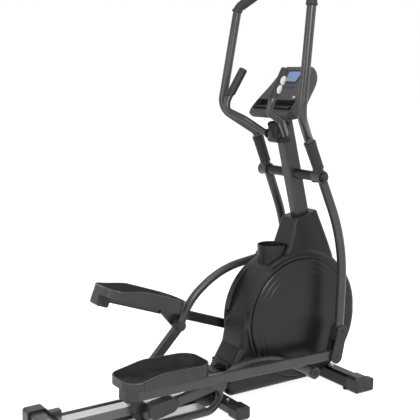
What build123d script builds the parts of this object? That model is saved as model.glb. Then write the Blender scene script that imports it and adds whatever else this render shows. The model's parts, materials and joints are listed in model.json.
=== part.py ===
from build123d import *
import os
from math import atan2, cos, degrees, hypot, pi, radians, sin, sqrt

os.makedirs("parts", exist_ok=True)

# Frame: millimetres, +X forward (towards the flywheel), +Y to the user's left,
# +Z up.  Origin on the floor under the middle of the machine.

# ---------------------------------------------------------------- overall
FRONT_X = 748.0            # front of the drive housing, rear caps mirror it
REAR_X = -FRONT_X
FIT = 0.3                  # general gap between neighbouring pieces
RUN = 0.05                 # radial running clearance in a pivot
PIN_R = 8.0                # pedal and hinge pins

# ---------------------------------------------------------------- linkage
CRANK_X = 415.0
CRANK_Z = 341.0
CRANK_R = 250.0            # half of the stride
CRANK_ANGLE = 9.75         # right pin, degrees forward of straight down
PIVOT_X = 428.0            # swing arm pivot
PIVOT_Z = 976.0
SWING_LEN = 811.0          # swing pivot to pedal bar hinge
SWING_MEAN = 5.9           # swing arm angle the arm outline is drawn at
BAR_LEN = 585.0            # pedal bar hinge to roller arm pivot
BAR_DROP = 3.7             # that pivot lies this many degrees below the bar
ARM_LEN = 843.0            # crank pin to roller axle
ARM_PIVOT = 510.0          # crank pin to pedal bar pivot, along the arm
ARM_RISE = 54.0            # and this far above the arm's own line
ROLLER_R = 38.0
TRACK_TOP = 49.0
ROLLER_GAP = 1.0            # roller tread above the track with nobody on board
ROLLER_Z = TRACK_TOP + ROLLER_R + ROLLER_GAP

# lateral planes
ARM_Y = 133.0              # roller arm
BAR_Y = 186.0              # pedal bar and swing arm
BAR_W = 25.0
BAR_H = 42.0
BAR_OFF = 8.0              # bar centre line above its hinge
ROLLER_Y = 92.0
ROLLER_W = 42.0
TUBE_R = 20.0              # swing arm tube
ARC_R = 18.0               # roller arm tube
CRANK_FACE = 109.0         # outer face of the crank pin boss
ARM_FACE = 112.0           # inner face of the roller arm's crank sleeve

# ---------------------------------------------------------------- housing
SIDE_Y = 86.0              # half width of the housing
WALL = 4.0
RING_IN = 268.0
RING_OUT = 280.0
RING_Y = 94.0
DISC_R = 264.0
DISC_IN = 88.0
DISC_FACE = 101.0

# ---------------------------------------------------------------- base
TUBE_Y = 140.0             # rail tubes
RAIL_R = 16.0
RAIL_Z = 38.0
TRACK_IN = 58.0
TRACK_OUT = 122.0
TRACK_X0 = -655.0
TRACK_X1 = -98.0
FOOT_H = 8.0


def linkage(side):
    """Pin, roller, pivot and hinge of one side as (x, z), at rest."""
    th = radians(CRANK_ANGLE) + (0 if side < 0 else pi)
    pin = (CRANK_X + CRANK_R * sin(th), CRANK_Z - CRANK_R * cos(th))
    rx = pin[0] - sqrt(ARM_LEN ** 2 - (pin[1] - ROLLER_Z) ** 2)
    e1 = ((rx - pin[0]) / ARM_LEN, (ROLLER_Z - pin[1]) / ARM_LEN)
    e2 = (e1[1], -e1[0])
    piv = tuple(pin[i] + e1[i] * ARM_PIVOT + e2[i] * ARM_RISE for i in (0, 1))
    dx, dz = PIVOT_X - piv[0], PIVOT_Z - piv[1]
    gap = hypot(dx, dz)
    along = (BAR_LEN ** 2 - SWING_LEN ** 2 + gap ** 2) / (2 * gap)
    off = sqrt(BAR_LEN ** 2 - along ** 2)
    hinge = (piv[0] + dx / gap * along + dz / gap * off,
             piv[1] + dz / gap * along - dx / gap * off)
    return pin, (rx, ROLLER_Z), piv, hinge


def angle(a, b):
    return atan2(b[1] - a[1], b[0] - a[0])


def place_arm(part, side):
    pin, roller, piv, hinge = linkage(side)
    turn = degrees(pi - angle(pin, roller))
    return Pos(pin[0], 0, pin[1]) * Rot(Y=turn) * on_side(part, side)


def place_bar(part, side):
    pin, roller, piv, hinge = linkage(side)
    turn = degrees(pi + radians(BAR_DROP) - angle(hinge, piv))
    return Pos(hinge[0], 0, hinge[1]) * Rot(Y=turn) * on_side(part, side)


def place_swing(part, side):
    pin, roller, piv, hinge = linkage(side)
    phi = degrees(atan2(hinge[0] - PIVOT_X, PIVOT_Z - hinge[1]))
    return Pos(PIVOT_X, 0, PIVOT_Z) * Rot(Y=SWING_MEAN - phi) * on_side(part, side)


def on_side(part, side):
    return part if side > 0 else mirror(part, about=Plane.XZ)


def both(part):
    return part + mirror(part, about=Plane.XZ)


def box(x0, x1, y0, y1, z0, z1, r=0, axis=None):
    b = Pos((x0 + x1) / 2, (y0 + y1) / 2, (z0 + z1) / 2) * Box(x1 - x0, y1 - y0, z1 - z0)
    if r and axis:
        b = fillet(b.edges().filter_by(axis), r)
    elif r:
        b = fillet(b.edges(), r)
    return b


def rod(x, z, y0, y1, r):
    """Cylinder along Y."""
    return Pos(x, (y0 + y1) / 2, z) * Rot(X=90) * Cylinder(r, abs(y1 - y0))


def tube(points, bends, r):
    """Round bar along straight runs; bends holds the radius of each inner corner."""
    pts = [Vector(*p) for p in points]
    edges = []
    start = pts[0]
    for k, radius in enumerate(bends, 1):
        back = (pts[k - 1] - pts[k]).normalized()
        ahead = (pts[k + 1] - pts[k]).normalized()
        half = radians((-back).get_angle(ahead)) / 2
        reach = radius * sin(half) / cos(half)
        middle = pts[k] + (back + ahead).normalized() * (radius / cos(half) - radius)
        edges.append(Line(start, pts[k] + back * reach))
        edges.append(ThreePointArc(pts[k] + back * reach, middle, pts[k] + ahead * reach))
        start = pts[k] + ahead * reach
    edges.append(Line(start, pts[-1]))
    path = Wire([e.edge() for e in edges])
    return sweep(Plane(origin=path @ 0, z_dir=path % 0) * Circle(r), path=path)


def plate_xz(face, y0, y1):
    """Extrude a face drawn as (x, z) from y0 to y1."""
    p = Plane(origin=(0, y0, 0), x_dir=(1, 0, 0), z_dir=(0, -1, 0))
    return extrude(p * face, amount=-(y1 - y0))


# ================================================================ base frame
FRONT_STAB = (598.0, 660.0)
MID_STAB = (-12.0, 47.0)
REAR_STAB = (REAR_X + 4.1, REAR_X + 70.0)
STAB_TOP = 72.0
FRONT_HALF = 274.0
MID_HALF = 232.0
REAR_HALF = 242.0
BEAM_Y = 46.0


def stabilizer(x0, x1, half, top):
    body = box(x0, x1, -half + 26, half - 26, FOOT_H, top, 12, Axis.Y)
    return body


def cap(x0, x1, half, top, grow=5.0):
    """Plastic end cap with a chamfered nose, hollow over the tube end."""
    body = box(x0 - grow, x1 + grow, half - 66, half, FOOT_H - 5, top + grow, 14, Axis.Y)
    body = chamfer(body.faces().sort_by(Axis.Y)[-1].edges(), 9)
    hole = box(x0 - FIT, x1 + FIT, half - 70, half - 26 + FIT, FOOT_H - FIT, top + FIT)
    return body - hole


WHEEL_X = 672.0
WHEEL_Z = 31.0
WHEEL_R = 28.0
WHEEL_Y = (FRONT_HALF - 25, FRONT_HALF - 7)


def front_cap():
    body = cap(FRONT_STAB[0], FRONT_STAB[1], FRONT_HALF, STAB_TOP)
    fork = box(640, 694, FRONT_HALF - 31, FRONT_HALF, FOOT_H, STAB_TOP - 6, 10, Axis.Y)
    gap = rod(WHEEL_X, WHEEL_Z, WHEEL_Y[0] - 1.5, WHEEL_Y[1] + 1.5, WHEEL_R + 4)
    inside = box(FRONT_STAB[0] - FIT, FRONT_STAB[1] + FIT, FRONT_HALF - 70, FRONT_HALF - 26 + FIT,
                 FOOT_H - FIT, STAB_TOP + FIT)
    body = body + fork - gap - inside
    body = body - box(WHEEL_X, 720, WHEEL_Y[0] - 1.5, WHEEL_Y[1] + 1.5, -5, WHEEL_Z + 14)
    pin = rod(WHEEL_X, WHEEL_Z, WHEEL_Y[0] - 4, WHEEL_Y[1] + 4, 5)
    return body + pin


def transport_wheel(side):
    w = rod(WHEEL_X, WHEEL_Z, WHEEL_Y[0], WHEEL_Y[1], WHEEL_R)
    w = chamfer(w.edges(), 3)
    w = w - rod(WHEEL_X, WHEEL_Z, WHEEL_Y[0] - 1, WHEEL_Y[1] + 1, 5 + RUN)
    return on_side(w, side)


def feet():
    pads = []
    for x, half in ((sum(FRONT_STAB) / 2 - 14, FRONT_HALF - 88), (sum(MID_STAB) / 2, MID_HALF - 88),
                    (sum(REAR_STAB) / 2, REAR_HALF - 88)):
        pad = Pos(x, half, (FOOT_H - FIT) / 2) * Cylinder(17, FOOT_H - FIT)
        pads.append(chamfer(pad.edges().sort_by(Axis.Z)[0:1], 1.5))
    return both(sum(pads[1:], pads[0]))


LUG = (-22.0, 22.0, 66.0, 124.0, 164.0)     # x0, x1, half y, z0, z1
BRACE_X = 130.0             # the lug brace reaches this far into the housing


def rail_tube():
    path = [(REAR_STAB[1], TUBE_Y, RAIL_Z), (-85, TUBE_Y, RAIL_Z), (-14, 98, 64), (-4, 61, LUG[4] - 4)]
    return tube(path, (90, 45), RAIL_R)


def rail_frame():
    side = rail_tube()
    collar = box(REAR_STAB[1], -630, TRACK_OUT + FIT, TUBE_Y + 21, 16, 75, 8, Axis.X)
    side = side + collar
    frame = both(side)
    frame = frame + box(REAR_STAB[1], MID_STAB[0], -BEAM_Y, BEAM_Y, 14, 58, 6, Axis.X)
    for x in (-640, -390, -130):
        frame = frame + box(x, x + 40, -TUBE_Y, TUBE_Y, 30, 40)
    return frame


def rail_track(side):
    y0, y1 = TRACK_IN, TRACK_OUT
    t = box(TRACK_X0, TRACK_X1, y0, y1, TRACK_TOP - 3, TRACK_TOP)
    for a in (y0, y1 - 3):
        lip = box(TRACK_X0, TRACK_X1, a, a + 3, 40, TRACK_TOP)
        t = t + fillet(lip.edges().filter_by(Axis.X).sort_by(Axis.Z)[-2:], 1)
    return on_side(t, side)


# ================================================================ main frame
MAST_LEAN = 13.8
MAST_X = 432.0              # mast centre at the height of the swing pivot
MAST_D = 70.0
MAST_W = 54.0
MAST_CORNER = 10.0
POST_JOINT = 640.0          # mast slides over the post above this height
MAST_TOP = 1232.0
FLY_X = 612.0
FLY_Z = 318.0
AXLE_R = 12.5
FLY_AXLE_R = 7.5
SHAFT_R = 10.0


def mast_x(z):
    return MAST_X - (z - PIVOT_Z) * sin(radians(MAST_LEAN)) / cos(radians(MAST_LEAN))


def leaning(z0, z1, d, w, r):
    """Rounded rectangular tube along the mast line, cut level at both ends."""
    lean = Plane(origin=(mast_x(z0 - 40), 0, z0 - 40), x_dir=(0, 1, 0),
                 z_dir=(-sin(radians(MAST_LEAN)), 0, cos(radians(MAST_LEAN))))
    bar = extrude(lean * RectangleRounded(w, d, r), amount=(z1 - z0 + 160) / cos(radians(MAST_LEAN)))
    keep = box(mast_x(z1) - 200, mast_x(z0) + 200, -100, 100, z0, z1)
    return bar & keep


def main_frame():
    spine = box(MID_STAB[0] - 6, 640, -36, 36, STAB_TOP + FIT, 108, 8, Axis.X)
    saddle = box(MID_STAB[0], MID_STAB[1], -36, 36, 55 + FIT, 80)
    lug_post = box(LUG[0] + 4, LUG[1] - 4, -30, 30, 100, LUG[3] + 4)
    lug = box(LUG[0], LUG[1], -LUG[2], LUG[2], LUG[3], LUG[4], 6)
    brace = box(LUG[1] - 4, BRACE_X, -20, 20, LUG[3], LUG[4])
    strut = box(BRACE_X - 35, BRACE_X, -20, 20, 100, LUG[4])
    post = leaning(205, 720, MAST_D - 8.6, MAST_W - 8.6, 6)
    foot = box(556, 592, -20, 20, 100, 300)
    collar = leaning(560, POST_JOINT - FIT, MAST_D, MAST_W, MAST_CORNER)
    crank_web = box(CRANK_X - 24, CRANK_X + 24, -18, 18, 100, CRANK_Z)
    tie = box(CRANK_X, mast_x(CRANK_Z) - 10, -18, 18, CRANK_Z - 18, CRANK_Z + 18)
    shell = rod(CRANK_X, CRANK_Z, -38, 38, 28)
    boss = rod(FLY_X, FLY_Z, -32, 32, 22) + hull_plate([(FLY_X, FLY_Z, 16), (mast_x(FLY_Z), FLY_Z, 16)], -18, 18)
    frame = spine + saddle + lug_post + lug + brace + strut + post + foot + collar + crank_web + tie + shell + boss
    frame = frame - rod(CRANK_X, CRANK_Z, -90, 90, AXLE_R + RUN) - rod(FLY_X, FLY_Z, -90, 90, FLY_AXLE_R + RUN)
    return frame - both(rail_tube())


def mast():
    m = leaning(POST_JOINT, MAST_TOP, MAST_D, MAST_W, MAST_CORNER)
    m = m - leaning(POST_JOINT - 60, 722, MAST_D - 8, MAST_W - 8, 6.3)
    return m - rod(PIVOT_X, PIVOT_Z, -100, 100, 21)


def cross_tube():
    t = rod(PIVOT_X, PIVOT_Z, -152, 152, 21) + rod(PIVOT_X, PIVOT_Z, -217, 217, SHAFT_R)
    ball = rod(PIVOT_X, PIVOT_Z, 214, 227, 21)
    ball = fillet(ball.edges().sort_by(Axis.Y)[-1:], 10)
    return t + both(ball)


# ================================================================ handlebar
PULSE_R = 14.5
PULSE_PTS = [(337, 70, 1148), (262, 132, 1212), (186, 152, 1248), (193, 157, 1291), (264, 148, 1412)]
PULSE_BENDS = (45, 60, 24, 60)


def pulse_tube(r):
    far = [(x, -y, z) for x, y, z in reversed(PULSE_PTS)]
    return tube(far + PULSE_PTS, PULSE_BENDS[::-1] + PULSE_BENDS, r)


def pulse_handlebar():
    return pulse_tube(PULSE_R)


def clamp_cover():
    c = box(311, 399, -46, 46, 1111, 1204)
    c = fillet(c.edges().filter_by(Axis.Z), 20)
    c = fillet(c.edges().group_by(Axis.Z)[-1] + c.edges().group_by(Axis.Z)[0], 10)
    c = c - leaning(1080, 1240, MAST_D + 2 * FIT, MAST_W + 2 * FIT, 10)
    return c - pulse_tube(PULSE_R + FIT)


GRIP_LOW = 1312.0
PLATE_LOW = 1332.0
PLATE_TOP = 1408.0


def pulse_sensors():
    """Two contact plates on the outer side of each grip."""
    shell = pulse_tube(PULSE_R + 6) - pulse_tube(PULSE_R + 4.2)
    plates = shell & both(box(180, 320, 151, 190, PLATE_LOW, PLATE_TOP))
    return plates - both(Pos(243, 155, 1371) * Rot(Y=-30) * Box(90, 60, 9))


def pulse_grips():
    """Moulded ends of the pulse handlebar."""
    end = Vector(*PULSE_PTS[-1])
    along = (end - Vector(*PULSE_PTS[-2])).normalized()
    tip = extrude(Plane(origin=end - along * 8, z_dir=along) * Circle(PULSE_R + 4), amount=21)
    tip = fillet(tip.faces().sort_by(Axis.Z)[-1].edges(), 5)
    grip = pulse_tube(PULSE_R + 4) & both(box(150, 320, 100, 190, GRIP_LOW, 1500))
    return grip + both(tip) - pulse_tube(PULSE_R)


# ================================================================ console
PANEL_TILT = 49.3
PANEL_LOW = (300.0, 1247.0)
PANEL_LEN = 246.0


def panel_plane(s, n=0.0):
    """Plane across the console: x runs along Y, y along the outward normal."""
    a = radians(PANEL_TILT)
    ux, uz = cos(a), sin(a)
    org = (PANEL_LOW[0] + ux * s - uz * n, 0, PANEL_LOW[1] + uz * s + ux * n)
    return Plane(origin=org, x_dir=(0, -1, 0), z_dir=(ux, 0, uz))


def panel_face(s, n=0.0):
    """Plane lying on the console face, z along the outward normal."""
    a = radians(PANEL_TILT)
    ux, uz = cos(a), sin(a)
    org = (PANEL_LOW[0] + ux * s - uz * n, 0, PANEL_LOW[1] + uz * s + ux * n)
    return Plane(origin=org, x_dir=(0, -1, 0), z_dir=(-uz, 0, ux))


def console_body():
    sections = []
    for s, half, deep in ((-14, 138, 30), (10, 150, 52), (90, 136, 60), (170, 118, 58), (225, 106, 44), (246, 92, 26)):
        sections.append(panel_plane(s, -deep / 2) * RectangleRounded(2 * half, deep, min(12, deep / 2 - 1)))
    body = loft(sections)
    body = body - extrude(panel_face(192, -3) * RectangleRounded(92, 58, 5), amount=10)
    body = body - extrude(panel_face(38, -26) * RectangleRounded(262, 52, 10), amount=40)
    for k in range(KEYS):
        body = body - extrude(panel_face(134, -6) * Pos(key_y(k), 0) * RectangleRounded(KEY_W + 1, KEY_H + 1, 3),
                              amount=20)
    body = body - extrude(panel_face(DIAL_S, -8) * Pos(DIAL_P, 0) * Circle(DIAL_R + 0.5), amount=20)
    return body - leaning(1150, MAST_TOP + 2, MAST_D + 2 * FIT, MAST_W + 2 * FIT, 10)


KEYS = 4
KEY_W = 22.0
KEY_H = 11.0
DIAL_R = 7.0
DIAL_S = 78.0
DIAL_P = 105.0


def key_y(k):
    return (k - (KEYS - 1) / 2) * 30.0


def console_key(k):
    return extrude(panel_face(134, -4.5) * Pos(key_y(k), 0) * RectangleRounded(KEY_W, KEY_H, 2.5), amount=6.5)


def console_button():
    return extrude(panel_face(DIAL_S, -6.5) * Pos(DIAL_P, 0) * Circle(DIAL_R), amount=9.5)


def console_display():
    return extrude(panel_face(192, -2.9) * RectangleRounded(91, 57, 4.5), amount=2.2)


def console_ledge():
    shelf = extrude(panel_face(38, -25.7) * RectangleRounded(261, 51, 9.5), amount=3)
    lip = extrude(panel_face(18, -22.7) * RectangleRounded(252, 7, 3), amount=30)
    rib = extrude(panel_face(36, -22.7) * RectangleRounded(252, 3, 1.4), amount=14)
    return shelf + lip + rib


# ================================================================ housing
ROUND = 28.0
SLOPE = ((12.0, 96.0), (108.0, 250.0))        # rear of the foot cover, low and high end
SEAM_FOOT = (150.0, 46.0)   # the foot cover's parting line runs from the slope's top to here
SEAM = 0.4                  # width of that line along X
HEEL = (46.0, 130.0, -58.0, 58.0, 96.0, 190.0)
NECK = ((540, 250, 647, 80, 40), (612, 326, 618, 76, 30), (665, 376, 597, 66, 20), (830, 431, 530, 48, 15))
NECK_TOP = 793.0            # height of the neck's sloping top at the mast line


def body_outline():
    front = ThreePointArc((470, 46), (694, 158), (FRONT_X, 346))
    brow = ThreePointArc((FRONT_X, 346), (728, 450), (658, 548))
    top = ThreePointArc((658, 548), (440, 648), (250, 571))
    rear = ThreePointArc((250, 571), (150, 400), SLOPE[1])
    heel = Polyline(SLOPE[1], SLOPE[0], (59, 46), (470, 46))
    face = make_face([front, brow, top, rear, heel])
    for x0, x1, z1, r in ((10, 80, 100, 20), (650, 670, 600, 40), (240, 255, 600, 60), (460, 480, 60, 30)):
        corners = face.vertices().filter_by_position(Axis.X, x0, x1).filter_by_position(Axis.Y, 40, z1)
        face = fillet(corners, r)
    return face


def neck_solid():
    """Tapering neck around the mast: flat flanks, top cut square to the mast."""
    sections = []
    for z, x0, x1, half, r in NECK:
        sections.append(Pos((x0 + x1) / 2, 0, z) * RectangleRounded(x1 - x0, 2 * half, r))
    neck = loft(sections, ruled=True)
    lean = radians(MAST_LEAN)
    top = Plane(origin=(mast_x(NECK_TOP), 0, NECK_TOP), x_dir=(0, 1, 0), z_dir=(-sin(lean), 0, cos(lean)))
    neck = neck - extrude(top * Rectangle(300, 400), amount=120)
    return fillet(neck.faces().sort_by(Axis.Z)[-1].edges(), 7)


def strip_xz(low, high, z0, z1, left, right):
    """Prism across the housing that follows the line low-high, between two offsets in X."""
    lean = (high[0] - low[0]) / (high[1] - low[1])
    xa, xb = low[0] + (z0 - low[1]) * lean, low[0] + (z1 - low[1]) * lean
    face = make_face(Polyline((xa + left, z0), (xa + right, z0), (xb + right, z1), (xb + left, z1), close=True))
    return plate_xz(face, -150, 150)


def heel_block():
    """Step on the foot cover's slope, a moulding of its own."""
    return box(*HEEL, 6) - strip_xz(*SLOPE, 80, 262, -FIT * 1.2, 200)


CUP_X = 324.0
CUP_Z = (577.0, 667.0)
CUP_A = 65.0                # half lengths of the oval along and across
CUP_B = 62.0
CUP_TAPER = 4.0


def cup_solid(grow=0.0):
    low = Pos(CUP_X, 0, CUP_Z[0] - grow) * Ellipse(CUP_A - CUP_TAPER + grow, CUP_B - CUP_TAPER + grow)
    high = Pos(CUP_X, 0, CUP_Z[1]) * Ellipse(CUP_A + grow, CUP_B + grow)
    return loft([low, high])


def cup_holder():
    inset = WALL + CUP_TAPER
    low = Pos(CUP_X, 0, CUP_Z[0] + WALL) * Ellipse(CUP_A - inset, CUP_B - inset)
    high = Pos(CUP_X, 0, CUP_Z[1] + 1) * Ellipse(CUP_A - WALL, CUP_B - WALL)
    cup = cup_solid() - loft([low, high])
    return fillet(cup.edges().group_by(Axis.Z)[-1], 1.5)


def housing():
    body = plate_xz(body_outline(), -SIDE_Y, SIDE_Y)
    rim = [e for e in body.edges() if abs(abs(e.center().Y) - SIDE_Y) < 1]
    body = fillet(rim, ROUND)
    neck = neck_solid()
    body = body + neck
    ring = rod(CRANK_X, CRANK_Z, 60, RING_Y, RING_OUT) - rod(CRANK_X, CRANK_Z, 50, RING_Y + 2, RING_IN)
    body = body + both(ring)
    hollow = Polyline((60, 62), (482, 62), (606, 112), (700, 206), (738, 330), (724, 436), (650, 524),
                      (400, 556), (276, 540), (186, 420), (150, 340), (126, 244), (48, 100), close=True)
    body = body - plate_xz(make_face(hollow), -75, 75)
    body = body - strip_xz(SEAM_FOOT, SLOPE[1], 38, 262, -SEAM / 2, SEAM / 2) + heel_block()
    body = body - rod(CRANK_X, CRANK_Z, -120, 120, 34)
    body = body - cup_solid(FIT)
    body = body - leaning(510, 830, MAST_D + 2 * FIT, MAST_W + 2 * FIT, MAST_CORNER + FIT)
    body = body - box(-60, BRACE_X + FIT, -20 - FIT, 20 + FIT, LUG[3] - FIT, LUG[4] + FIT)
    body = body - box(-60, 700, -36 - FIT, 36 + FIT, STAB_TOP - 40, 108 + FIT)
    body = body - box(FRONT_STAB[0] - 2, FRONT_STAB[1] + 2, -120, 120, -10, STAB_TOP + 2)
    body = body - box(-60, MID_STAB[1] + 2, -120, 120, -10, STAB_TOP - 6)
    return body


def housing_half(body, side):
    keep = box(-100, 900, 0.1, 150, 0, 900)
    return body & on_side(keep, side)


# ================================================================ crank, drive
def hull_plate(circles, y0, y1):
    """Plate from y0 to y1 whose outline is wrapped around circles (x, z, r)."""
    edges = []
    for x, z, r in circles:
        edges += (Pos(x, z) * Circle(r)).edges()
    return plate_xz(make_hull(edges), y0, y1)


def crank_axle():
    return rod(CRANK_X, CRANK_Z, -97, 97, AXLE_R)


def crank_arm(side, grow=0.0):
    pin = linkage(side)[0]
    arm = hull_plate([(CRANK_X, CRANK_Z, 26 + grow), (pin[0], pin[1], 15 + grow)], 89 - grow, 97 + grow)
    boss = rod(pin[0], pin[1], 89, CRANK_FACE, 15 + grow)
    arm = on_side(arm + boss, side)
    return arm if grow else arm - rod(CRANK_X, CRANK_Z, -120, 120, AXLE_R)


def crank_disc(side):
    pts = [(0, 99.5), (30, 99.5), (236, 97.5), (236, DISC_IN), (DISC_R, DISC_IN), (DISC_R, 97), (259, DISC_FACE),
           (238, DISC_FACE + 0.5), (236, DISC_FACE + 2), (214, DISC_FACE + 2.6), (212, DISC_FACE + 4.2),
           (150, DISC_FACE + 5.2), (0, DISC_FACE + 5.8)]
    flat = make_face(Polyline(*pts, close=True))
    disc = revolve(flat, Axis.Y)
    disc = Pos(CRANK_X, 0, CRANK_Z) * disc
    return on_side(disc, side) - crank_arm(side, 0.5)


PULLEY_Y = (44.0, 60.0)
PULLEY_R = 130.0
SMALL_R = 22.0
BELT_T = 3.0


def drive_pulley():
    p = rod(CRANK_X, CRANK_Z, PULLEY_Y[0], PULLEY_Y[1], PULLEY_R)
    p = p - rod(CRANK_X, CRANK_Z, PULLEY_Y[0] - 1, PULLEY_Y[0] + 4, PULLEY_R - 12)
    p = p - rod(CRANK_X, CRANK_Z, PULLEY_Y[1] - 4, PULLEY_Y[1] + 1, PULLEY_R - 12)
    p = p + rod(CRANK_X, CRANK_Z, PULLEY_Y[0] - 2, PULLEY_Y[1] + 2, 30)
    for k in range(6):
        a = radians(60 * k)
        p = p - rod(CRANK_X + 76 * cos(a), CRANK_Z + 76 * sin(a), 40, 66, 26)
    return p - rod(CRANK_X, CRANK_Z, 0, 90, AXLE_R)


def flywheel():
    w = rod(FLY_X, FLY_Z, -70, -42, 112)
    w = chamfer(w.edges(), 2)
    w = w - rod(FLY_X, FLY_Z, -72, -62, 88) - rod(FLY_X, FLY_Z, -50, -40, 88)
    w = w + rod(FLY_X, FLY_Z, -70, -40, 24)
    w = w + rod(FLY_X, FLY_Z, -74, 63, FLY_AXLE_R)
    return w + rod(FLY_X, FLY_Z, PULLEY_Y[0], PULLEY_Y[1], SMALL_R)


def drive_belt():
    y0, y1 = PULLEY_Y[0] + 2, PULLEY_Y[1] - 2
    outer = [(CRANK_X, CRANK_Z, PULLEY_R + FIT + BELT_T), (FLY_X, FLY_Z, SMALL_R + FIT + BELT_T)]
    inner = [(x, z, r - BELT_T) for x, z, r in outer]
    return hull_plate(outer, y0, y1) - hull_plate(inner, y0 - 1, y1 + 1)


# ================================================================ swing arms
# drawn about the swing pivot, left side, at the mean arm angle
ARM_PATH = [(-40, 120), (140, -310), (113, -700)]
ARM_BEND = 780.0
HANDLE_PATH = [(-41, BAR_Y, 122.4), (-61.8, BAR_Y, 172), (-182, 292, 270), (-116, 277, 712), (-60, 200, 776)]
HANDLE_BENDS = (45, 75, 60)
HANDLE_R = 19.0
GRIP_R = 22.0
GRIP_Z = 706.0


def hinge_local():
    a = radians(SWING_MEAN)
    return SWING_LEN * sin(a), -SWING_LEN * cos(a)


def arm_tube(r):
    return tube([(x, BAR_Y, z) for x, z in ARM_PATH], (ARM_BEND,), r)


def handle_tube(r):
    return tube(HANDLE_PATH, HANDLE_BENDS, r)


def swing_arm():
    hx, hz = hinge_local()
    arm = arm_tube(TUBE_R)
    arm = arm + rod(0, 0, BAR_Y - 28, BAR_Y + 26, 26)
    for y0 in (BAR_Y - 22, BAR_Y + 16):
        arm = arm + hull_plate([(112, -706, 19), (hx, hz, 20)], y0, y0 + 6)
    arm = arm + rod(hx, hz, BAR_Y - 22, BAR_Y + 22, PIN_R)
    return arm - rod(0, 0, 100, 250, SHAFT_R + RUN)


def swing_sleeve():
    """Flared cover over the joint of arm and handle."""
    top, low = ARM_PATH[:2]
    along = Vector(top[0] - low[0], 0, top[1] - low[1]).normalized()
    mid = Vector(top[0], BAR_Y, top[1])
    ends = [Plane(origin=mid + along * d, z_dir=along) for d in (-92, 20, 32)]
    body = loft([ends[0] * Circle(23.5), ends[1] * Circle(25)]) + loft([ends[1] * Circle(25), ends[2] * Circle(26.5)])
    return body - extrude(ends[0] * Circle(TUBE_R + FIT), amount=130)


def swing_handle():
    return handle_tube(HANDLE_R)


def swing_grip():
    keep = box(-200, 60, 100, 340, GRIP_Z, 900)
    grip = (handle_tube(GRIP_R) & keep) + Pos(*HANDLE_PATH[-1]) * Sphere(GRIP_R)
    return grip - handle_tube(HANDLE_R + FIT)


def hinge_cover():
    hx, hz = hinge_local()
    y0, y1 = BAR_Y - 27, BAR_Y + 27
    shape = [(114, -694, 27), (hx, hz, 30)]
    inner = [(x, z, r - 4) for x, z, r in shape]
    cover = hull_plate(shape, y0, y1)
    cover = chamfer([e for e in cover.edges() if abs(abs(e.center().Y - BAR_Y) - 27) < 1], 3)
    cover = cover - hull_plate(inner, y0 + 4, y1 - 4)
    cover = cover - box(-100, hx + 6, BAR_Y - 18, BAR_Y + 18, hz - 60, hz + 78)
    return cover - arm_tube(TUBE_R + FIT)


# ================================================================ pedal bars
# drawn about the hinge, left side, bar lying level along -X
TRAY_X = (-1026.0, -642.0)
BAR_END = TRAY_X[0] + 41    # the bar stops inside the rounded rear corner
TRAY_Y = (12.0, 200.0)
TRAY_ROUND = 62.0
TRAY_FLOOR = BAR_OFF + BAR_H / 2
TRAY_WALL = 4.5
TRAY_RIM = 50.0
TRAY_LOW = 26.0             # rim height at the rear end


def bar_pivot():
    a = radians(BAR_DROP)
    return -BAR_LEN * cos(a), -BAR_LEN * sin(a)


def pedal_bar():
    px, pz = bar_pivot()
    y0, y1 = BAR_Y - BAR_W / 2, BAR_Y + BAR_W / 2
    bar = box(BAR_END, -12, y0, y1, BAR_OFF - BAR_H / 2, BAR_OFF + BAR_H / 2, 5, Axis.X)
    bar = bar + rod(0, 0, y0, y1, 21)
    bar = bar + hull_plate([(px, pz, 20), (px - 84, 0, 10), (px + 20, 2, 10)], ARM_FACE + 48, y0 + 1)
    bar = bar + rod(px, pz, ARM_FACE + 0.5, y0 + 1, PIN_R)
    bar = bar + rod(px, pz, ARM_FACE - 1.7, ARM_FACE + 1.5, 18)
    return bar - rod(0, 0, y0 - 1, y1 + 1, PIN_R + RUN)


def tray_outline(inset=0.0):
    w, d = TRAY_X[1] - TRAY_X[0] - 2 * inset, TRAY_Y[1] - TRAY_Y[0] - 2 * inset
    return Pos(sum(TRAY_X) / 2, sum(TRAY_Y) / 2) * RectangleRounded(w, d, TRAY_ROUND - inset)


def bar_clear():
    return box(BAR_END - FIT, 100, BAR_Y - BAR_W / 2 - FIT, BAR_Y + BAR_W / 2 + FIT,
               BAR_OFF - BAR_H / 2 - FIT, TRAY_FLOOR + FIT)


def tray_side(x_from):
    """Side profile of the tray wall: low at the rear, ramping up to the full rim."""
    x0, x1 = TRAY_X
    low, rim = TRAY_FLOOR + TRAY_LOW, TRAY_FLOOR + TRAY_RIM
    z0 = TRAY_FLOOR - 6
    rear = [(x_from, z0), (x_from, low)]
    if x_from < x0 + 50:
        rear.append((x0 + 50, low + 2))
    rest = [(x0 + 160, rim), (x1 + 5, rim - 2), (x1 + 5, z0)]
    side = make_face(Polyline(*rear, *rest, close=True))
    ramp = side.vertices().filter_by_position(Axis.X, x0 + 159, x0 + 161)
    return fillet(ramp, 60)


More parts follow.
